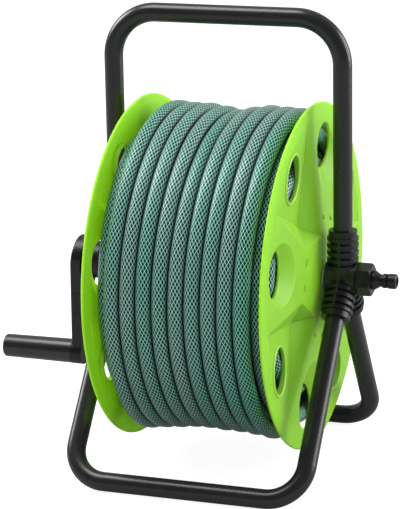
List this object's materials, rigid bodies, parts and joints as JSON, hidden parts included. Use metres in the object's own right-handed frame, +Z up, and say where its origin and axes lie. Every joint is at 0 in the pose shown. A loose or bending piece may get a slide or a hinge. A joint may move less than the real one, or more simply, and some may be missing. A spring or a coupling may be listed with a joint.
{
  "type": "hose reel",
  "caption": "Portable garden hose reel: bent tube frame, green drum with a wound braided hose, side crank with a turning grip, and a quick-connect water inlet.",
  "frame": {"origin": "point on the floor below the reel's axis, midway between the two posts", "axes": "+X along the reel's axis towards the water inlet, +Y to the rear, +Z up"},
  "size_m": [0.4448, 0.3751, 0.484],
  "materials": {
    "black_tube": "satin black powder coat",
    "black_moulding": "matt black moulded plastic",
    "green_moulding": "glossy lime green moulded plastic",
    "axle_plastic": "matt dark grey moulded plastic",
    "bearing_plastic": "plain natural acetal",
    "zinc_steel": "bright zinc plated",
    "seal_rubber": "matt black rubber",
    "hose_pvc": "teal green PVC over a pale braided net"
  },
  "bodies": {
    "frame": {"handle_tube": "black_tube", "front_leg_tube": "black_tube", "rear_leg_tube": "black_tube", "left_bracket": "black_moulding", "right_bracket": "black_moulding", "bracket_screws": "zinc_steel", "left_bush": "bearing_plastic", "right_bush": "bearing_plastic", "inlet_nut": "black_moulding", "inlet_nipple": "black_moulding", "inlet_washer": "seal_rubber", "inlet_o_rings": "seal_rubber", "thrust_washer": "bearing_plastic"},
    "drum": {"left_flange": "green_moulding", "right_flange": "green_moulding", "drum_barrel": "green_moulding", "water_axle": "axle_plastic", "crank_axle": "axle_plastic", "axle_clips": "zinc_steel", "outlet_elbow": "axle_plastic", "hose_tail": "hose_pvc", "hose_clamp": "zinc_steel", "hose_inner_layers": "hose_pvc", "hose_outer_layer": "hose_pvc", "hose_end_connector": "black_moulding", "hose_end_nut": "green_moulding", "crank_arm": "black_moulding", "crank_screw": "zinc_steel", "grip_pin": "zinc_steel"},
    "grip": {"crank_grip": "black_moulding", "grip_cap": "black_moulding"}
  },
  "joints": [
    {"name": "drum_spin", "type": "hinge", "parent": "frame", "child": "drum", "pos_m": [0, 0, 0.203], "axis": [1, 0, 0], "continuous": true},
    {"name": "grip_spin", "type": "hinge", "parent": "drum", "child": "grip", "pos_m": [-0.2165, 0, 0.097], "axis": [1, 0, 0], "continuous": true}
  ]
}
